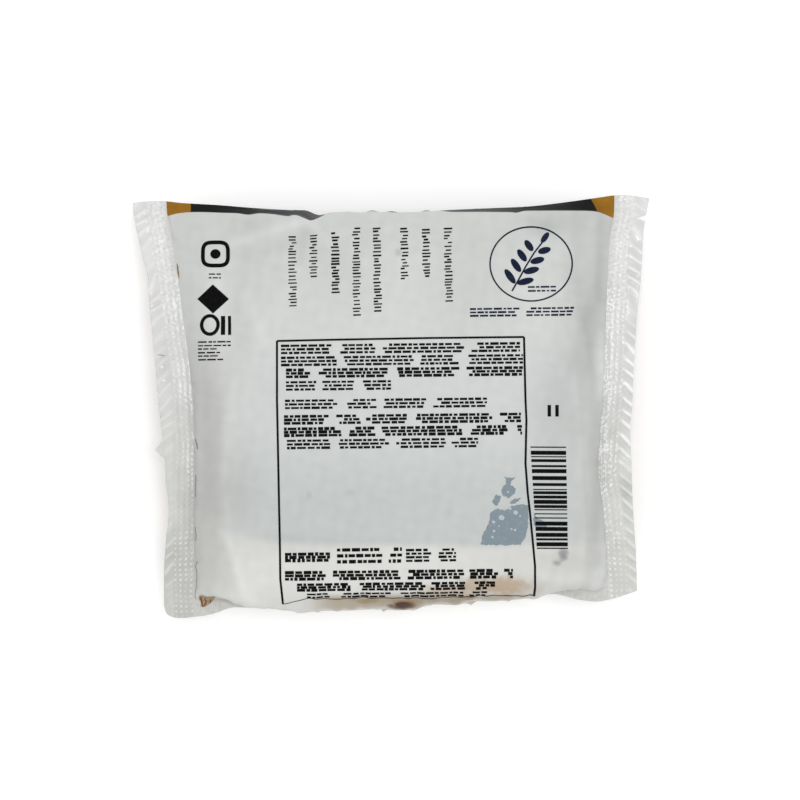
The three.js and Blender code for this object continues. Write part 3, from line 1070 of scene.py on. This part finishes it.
class Sheet:
    """Flat shapes gathered in pixels and laid on the film as one mesh."""

    def __init__(self):
        self.points = []
        self.faces = []

    def ribbon(self, line, width, step=STEP):
        line = np.asarray(line, float)
        lengths = np.concatenate([[0], np.cumsum(np.linalg.norm(np.diff(line, axis=0), axis=1))])
        count = max(2, int(math.ceil(lengths[-1] / step)) + 1)
        at = np.unique(np.concatenate([np.linspace(0, lengths[-1], count), lengths]))
        x, y = np.interp(at, lengths, line[:, 0]), np.interp(at, lengths, line[:, 1])
        run = np.stack([np.gradient(x), np.gradient(y)], -1)
        run = run / np.linalg.norm(run, axis=1, keepdims=True)
        lanes = int(math.ceil(width / STEP)) + 1
        start, n = len(self.points), len(at)
        for lane in np.linspace(-0.5, 0.5, lanes) * width:
            self.points.extend(zip(x - run[:, 1] * lane, y + run[:, 0] * lane))
        for k in range(lanes - 1):
            for a in range(start + k * n, start + k * n + n - 1):
                self.faces.append((a, a + 1, a + 1 + n, a + n))

    def polygon(self, outline, longest=2 * STEP):
        mesh = bmesh.new()
        mesh.faces.new([mesh.verts.new((x, y, 0)) for x, y in outline])
        bmesh.ops.triangulate(mesh, faces=mesh.faces[:])
        for _ in range(MOST_CUTS):
            long = [e for e in mesh.edges if e.calc_length() > longest]
            if not long:
                break
            bmesh.ops.subdivide_edges(mesh, edges=long, cuts=1)
            bmesh.ops.triangulate(mesh, faces=mesh.faces[:])
        start = len(self.points)
        mesh.verts.index_update()
        self.points.extend((v.co.x, v.co.y) for v in mesh.verts)
        self.faces.extend(tuple(start + v.index for v in f.verts) for f in mesh.faces)
        mesh.free()
        return self

    def ribbons(self, lines, step=STEP):
        for line, width in lines:
            self.ribbon(line, width, step)
        return self

    def ellipse(self, cx, cy, rx, ry, turn=0.0, sides=20):
        t = np.linspace(0, 2 * math.pi, sides, endpoint=False)
        u, v = rx * np.cos(t), ry * np.sin(t)
        x = cx + u * math.cos(turn) - v * math.sin(turn)
        y = cy + u * math.sin(turn) + v * math.cos(turn)
        self.polygon(list(zip(x, y)))

    def ring(self, cx, cy, rx, ry, width, power=1.0):
        """A closed line: round at power 1, squarer below it."""
        t = np.linspace(0, 2 * math.pi, RING_POINTS)
        x = cx + rx * np.sign(np.cos(t)) * np.abs(np.cos(t)) ** power
        y = cy + ry * np.sign(np.sin(t)) * np.abs(np.sin(t)) ** power
        self.ribbon(np.stack([x, y], -1), width)

    def dashes(self, start, end, height, thick, seed, lines):
        """A row of short broken lines."""
        r = np.random.default_rng(seed)
        start, end = np.asarray(start, float), np.asarray(end, float)
        length = np.linalg.norm(end - start)
        run = (end - start) / length
        side = np.array([-run[1], run[0]])
        gaps = []
        at = r.uniform(*FIRST_GAP)
        while at < length:
            gaps.append((at, at + r.uniform(*GAP_WIDTH)))
            at += r.uniform(*GAP_PITCH)
        for offset in np.linspace(-0.5, 0.5, lines) * (height - thick):
            at = 0.0
            while at < length - LAST_DASH:
                dash = min(r.uniform(*DASH), length - at)
                inside = any(a < at + dash and at < b for a, b in gaps)
                if not inside and dash > SHORTEST_DASH:
                    first = start + run * at + side * offset
                    self.ribbon([first, first + run * dash], thick * r.uniform(*DASH_WIDTH))
                at += dash + r.uniform(*DASH_BREAK)

    def ladder(self, x, y0, y1, thick, seed):
        """A column of short level strokes."""
        r = np.random.default_rng(seed)
        y = y0
        while y < y1:
            stroke = RUNG_LENGTH * r.uniform(*RUNG_SHARE)
            left = x + LADDER_LEAN * (y - y0) - RUNG_LENGTH / 2 + r.uniform(0, RUNG_LENGTH - stroke)
            self.ribbon([(left, y), (left + stroke, y - RUNG_TILT)], thick * r.uniform(*RUNG_WIDTH))
            y += RUNG_PITCH * r.uniform(*RUNG_SPACING)

    def lay(self, name, film, lift, material):
        points = [film.place(x, y, lift) for x, y in self.points]
        if None in points:
            x, y = self.points[points.index(None)]
            raise ValueError(f"{name}: nothing under pixel {x:.1f}, {y:.1f}")
        thing = add_object(name, points, self.faces)
        mesh = bmesh.new()
        mesh.from_mesh(thing.data)
        for face in mesh.faces:
            if face.normal.z < 0:
                face.normal_flip()
        mesh.to_mesh(thing.data)
        mesh.free()
        thing.data.materials.append(material)
        return thing


# The panel's frame: lines in pixels and their widths
PANEL_LINES = [
    ([(277, 341), (340, 339.6), (430, 338), (524, 337)], 2),
    ([(524, 337), (525.5, 400), (526.4, 420), (525.5, 463), (527.7, 493), (530, 513),
      (532.7, 541), (535, 566), (535, 586), (534, 595)], 2.1),
    ([(277, 341), (277, 400), (278.4, 469), (279.8, 538), (280.3, 579), (283, 604.5)], 2.1),
    ([(283, 604.5), (309, 598), (330, 599), (364, 598), (433, 598), (485, 596), (534, 595)], 0.6),
]

# The panel's rows: first and last x, y at the first, line width
PANEL_ROWS = [
    (281, 520, 349.5, 2.3), (281, 523, 361.5, 2.3), (286, 523, 373.5, 2.75), (286, 391, 386, 2.2),
    (285, 487, 404.5, 2.25), (284, 521, 420, 2.65), (284, 522, 432.3, 2.85), (287, 478, 444.5, 2.3),
    (285, 330, 557.5, 3.1), (285, 513, 576, 2.9),
]
PANEL_TILT = -0.011
PANEL_ROW_HEIGHT = 9.5
PANEL_SEED = 100

# Other rows: pixel start and end, height, line width, seed, lines in the row
BLACK_ROWS = [
    ((297, 587.5), (503, 585.234), 8, 2.5, 110, 3),
    ((307, 595.6), (487, 593.62), 4.6, 1.7, 111, 2),
    ((337, 556), (402, 555), 15, 3.2, 131, 3),
    ((406, 555.5), (456, 554.8), 13, 2.3, 132, 4),
    ((209, 276), (221, 276), 5, 1.3, 160, 2),
    ((198.5, 344), (231, 343.6), 5, 1.3, 170, 2),
    ((198.5, 351), (231, 350.6), 5, 1.3, 171, 2),
    ((198.5, 358), (231, 357.6), 5, 1.3, 172, 2),
]
NAVY_ROWS = [
    ((528, 289), (556, 288.6), 5.5, 1.6, 180, 2),
    ((470, 312.5), (578, 311.2), 8.6, 1.8, 181, 3),
]

# Columns of short strokes: x, first y, last y, stroke width
COLUMNS = [
    (292, 237, 308, 1.35), (313, 236, 278, 1.4), (335, 234, 295, 1.8), (356, 229, 317, 1.5),
    (377, 229, 312, 1.6), (404, 229, 280, 1.55), (426, 230, 277, 1.75), (448, 229, 303, 1.5),
]
COLUMN_SEED = 140

# Plain marks: rings by centre, half sizes, line width and squareness, a dot, a square, strokes
SQUARE_RING = (215.5, 254, 12.6, 11.6, 3.8, 0.55)
RING_DOT = (215.5, 254, 5.2, 4.8)
ROUND_RING = (210, 325, 8.2, 9.2, 3.4)
TILTED_SQUARE = [(213, 284.5), (229, 299), (213, 313.5), (197.5, 299)]
STROKES = [
    ([(223, 316), (223.4, 335)], 4.2),
    ([(229.5, 316), (229.9, 335)], 3),
    ([(549.3, 405), (549.3, 416.5)], 3.4),
    ([(557, 405), (557, 416.5)], 3.4),
]

# Field of random bars: rows in pixels, widths and gaps to draw from, its left and right side
BARS_FIRST = 446.5
BARS_LAST = 549
BARS_TOP = 446
BARS_HEIGHT = 104
BARS_LEFT = (530.5, 537)
BARS_RIGHT = (566, 568)
BARS_TILT = 0.2
BARS_SEED = 9
BAR_WIDTHS = [1.1, 1.1, 1.2, 2.1, 2.9, 4]
BAR_GAPS = [1.2, 1.4, 1.9, 3]

# Emblem: round frame, stem, and grains that get shorter towards the tip
ROUND_FRAME = (531, 264, 41, 37, 1.5)
STEM = [(512, 291), (519, 279), (526, 266), (534, 253), (544, 240)]
STEM_WIDTH = 1.6
GRAIN_PAIRS = [(517, 281), (523, 270), (529, 260), (536, 250)]
GRAIN_SIDES = [(-7, -4.6, 0.95), (8.4, 0.4, -0.25)]
GRAIN_LENGTH = 8.6
GRAIN_SHRINK = 0.7
GRAIN_WIDTH = 3.3
TIP_GRAIN = (545, 237.5, 6, 2.8, -0.95)


def draw_bars(ink):
    r = np.random.default_rng(BARS_SEED)
    y = BARS_FIRST
    while y < BARS_LAST:
        wide = float(r.choice(BAR_WIDTHS))
        share = (y - BARS_TOP) / BARS_HEIGHT
        middle = y + wide / 2
        ends = [(mix(*BARS_LEFT, share), middle), (mix(*BARS_RIGHT, share), middle + BARS_TILT)]
        ink.ribbon(ends, wide)
        y += wide + float(r.choice(BAR_GAPS))


def print_black():
    ink = Sheet()
    ink.ribbons(PANEL_LINES)
    for k, (x0, x1, y, thick) in enumerate(PANEL_ROWS):
        end = (x1, y + PANEL_TILT * (x1 - x0))
        ink.dashes((x0, y), end, PANEL_ROW_HEIGHT, thick, PANEL_SEED + k, 3)
    for row in BLACK_ROWS:
        ink.dashes(*row)
    for k, (x, y0, y1, thick) in enumerate(COLUMNS):
        ink.ladder(x, y0, y1, thick, COLUMN_SEED + k)
    ink.ring(*SQUARE_RING)
    ink.ellipse(*RING_DOT)
    ink.polygon(TILTED_SQUARE)
    ink.ring(*ROUND_RING)
    ink.ribbons(STROKES)
    draw_bars(ink)
    return ink


def print_navy():
    """An ear of rice in a round frame, and a caption row."""
    ink = Sheet()
    ink.ring(*ROUND_FRAME)
    ink.ribbon(STEM, STEM_WIDTH)
    for k, (x, y) in enumerate(GRAIN_PAIRS):
        for right, down, turn in GRAIN_SIDES:
            ink.ellipse(x + right, y + down, GRAIN_LENGTH - GRAIN_SHRINK * k, GRAIN_WIDTH, turn)
    ink.ellipse(*TIP_GRAIN)
    for row in NAVY_ROWS:
        ink.dashes(*row)
    return ink


# Outlines of the seaweed patch in pixels
SEAWEED = [
    [(481, 545), (482, 535), (487, 528), (491, 512), (498, 509), (505, 510.5), (512, 506),
     (521, 504), (528, 505), (528.5, 519), (527, 533), (520.5, 545)],
    [(501, 489), (506, 484), (511, 485), (516, 489), (515, 494), (508, 498), (503, 495)],
    [(504, 476), (508, 478.5), (516, 476.5), (512, 480), (510, 485), (506.5, 484), (506, 480)],
    [(492, 502), (496, 495), (501, 496), (500, 502), (496, 506)],
    [(509, 502.5), (515, 498.5), (521.5, 498), (517, 502.5), (511, 504)],
    [(533.5, 513), (538, 519), (546.5, 522), (546, 528.5), (536, 529), (533.8, 524)],
]
PATCH_SEED = 190
RAGGED_STEP = 2
RAGGED_DEPTH = 0.7

# Pale specks on the patch: pixel centre and half width
SPECKS = [
    (501.5, 517.5, 3), (515.6, 512.6, 2.5), (510, 508.5, 1.7), (493.5, 522, 1.8), (494, 531, 1.5),
    (492.5, 537, 1.4), (511.5, 529, 1.1), (515, 530, 1.4), (504, 509.5, 1.1), (520, 516, 1),
    (508, 492, 1.2), (499, 526, 0.9),
]
SPECK_FLATNESS = 0.85
SPECK_TURN = 0.3
SPECK_SIDES = 10

SLIVER = [(176.6, 263), (178.4, 266), (179.6, 272), (179.2, 279), (177.9, 274), (177, 268)]

# Painted shade in fine creases beside the left seam, and dark streaks on the folded corner
CREASE_SHADOWS = [
    ([(195.6, 439), (197, 444), (197.8, 449)], 0.7),
    ([(195.6, 475), (195.8, 485), (195.7, 497)], 0.45),
    ([(196.3, 527), (197, 534), (196.8, 541)], 0.5),
    ([(197.2, 561), (196.7, 575), (196.1, 590), (196.2, 598)], 0.45),
]
CORNER_SCRAP = [
    (200.2, 595), (203, 594.3), (206.5, 595.7), (210.7, 596.4), (214.9, 597.8), (212.8, 600.6),
    (210, 603.5), (206.5, 605.6), (203, 607), (200.9, 605.6), (201.6, 602), (200.2, 598.5),
]
STREAKS = [
    ([(202.3, 595.7), (201.8, 600.6), (203.7, 606.3)], 1.5),
    ([(205.8, 596.4), (206.5, 602), (205, 605.6)], 1.1),
    ([(210.5, 598), (210.8, 602.5)], 0.8),
]


def ragged(outline, seed):
    """The same closed outline in short steps, each moved a little to one side."""
    r = np.random.default_rng(seed)
    ends = np.asarray([*outline, outline[0]], float)
    points = []
    for first, last in zip(ends[:-1], ends[1:]):
        run = last - first
        count = max(1, int(round(np.linalg.norm(run) / RAGGED_STEP)))
        side = np.array([-run[1], run[0]]) / np.linalg.norm(run)
        for k in range(count):
            points.append(first + run * k / count + side * r.uniform(-RAGGED_DEPTH, RAGGED_DEPTH))
    return points


def seaweed_patch():
    """Dark seaweed seen where the film lies right on it."""
    ink = Sheet()
    for k, outline in enumerate(SEAWEED):
        ink.polygon(ragged(outline, PATCH_SEED + k))
    return ink


def patch_specks():
    ink = Sheet()
    for x, y, r in SPECKS:
        ink.ellipse(x, y, r, r * SPECK_FLATNESS, SPECK_TURN, SPECK_SIDES)
    return ink


def film_sliver():
    return Sheet().polygon(SLIVER)


# Painted shade: dark lines laid in the creases beside the left seam
def crease_shadows():
    return Sheet().ribbons(CREASE_SHADOWS)


def corner_fold():
    """A folded scrap of brown print at the lower left corner."""
    return Sheet().polygon(CORNER_SCRAP, STEEP_STEP)


def corner_streaks():
    return Sheet().ribbons(STREAKS, STEEP_STEP)


# Thin pieces on the back film: drawing, which also gives the name, lift off the film in millimetres,
# colour, and how much lighter it is where it is worn
DECALS = [
    (seaweed_patch, 0.03, (134, 146, 154), 12),
    (patch_specks, 0.045, (182, 193, 198), 6),
    (print_black, 0.06, (8, 8, 9), 16),
    (print_navy, 0.05, (24, 31, 52), 16),
    (film_sliver, 0.05, (146, 118, 70), 20),
    # painted shade in the creases beside the left seam
    (crease_shadows, 0.04, (118, 118, 115), 20),
    (corner_fold, 0.17, (166, 142, 112), 26),
    (corner_streaks, 0.2, (112, 82, 54), 20),
]

body, back = make_body()
fins = [make_fin("left"), make_fin("right")]
sealed = fin_material()
body.data.materials.append(film_material())
for fin in fins:
    fin.data.materials.append(sealed)

decals = []
for draw, lift, colour, wear in DECALS:
    name = draw.__name__
    decals.append(draw().lay(name, back, lift, ink_material(name, colour, wear)))

for piece in [body, *fins, *decals]:
    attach(piece, "root")
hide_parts("pack")


# Floor, light and camera

FLOOR_REACH = 3
FLOOR_GREY = 0.95
FLOOR_ROUGHNESS = 0.8
FLOOR_GLOSS = 0.2
FLOOR_GLOW = 0.09
WORLD_LIGHT = 0.85

# Lamps: name, place and size in metres, power; all of them aim at the pack
LAMPS = [("key", (0.18, 0.05, 1.2), 0.4, 3.7), ("glint", (-0.1, 0.3, 1.15), 0.1, 1.2)]
LAMP_AIM = (0, 0, 0.015)


def make_floor():
    mesh = bpy.data.meshes.new("floor")
    corners = [(x * FLOOR_REACH, y * FLOOR_REACH, 0) for x, y in ((-1, -1), (1, -1), (1, 1), (-1, 1))]
    mesh.from_pydata(corners, [], [(0, 1, 2, 3)])
    floor = place_object("floor", mesh)
    shader = Shader("pale_floor", FLOOR_GLOSS)
    shader.feed("Base Color", grey(FLOOR_GREY))
    shader.feed("Roughness", FLOOR_ROUGHNESS)
    shader.feed("Emission Color", grey(1))
    shader.feed("Emission Strength", FLOOR_GLOW)
    mesh.materials.append(shader.material)


def add_lamp(name, place, size, power):
    data = bpy.data.lights.new(name, "AREA")
    data.shape = "DISK"
    data.size = size
    data.energy = power
    lamp = place_object(name, data)
    lamp.location = place
    lamp.rotation_euler = (Vector(LAMP_AIM) - Vector(place)).to_track_quat("-Z", "Y").to_euler()


def light_world():
    world = bpy.data.worlds.new("studio")
    scene.world = world
    world.use_nodes = True
    inputs = world.node_tree.nodes["Background"].inputs
    inputs["Color"].default_value = grey(1)
    inputs["Strength"].default_value = WORLD_LIGHT


def add_camera():
    data = bpy.data.cameras.new("camera")
    data.sensor_width = SENSOR
    data.lens = FOCAL_PIXELS / IMAGE * SENSOR
    scene.camera = place_object("camera", data)
    scene.camera.location = Vector(CAMERA) * MM


make_floor()
light_world()
for lamp in LAMPS:
    add_lamp(*lamp)
add_camera()
scene.view_settings.view_transform = "Standard"
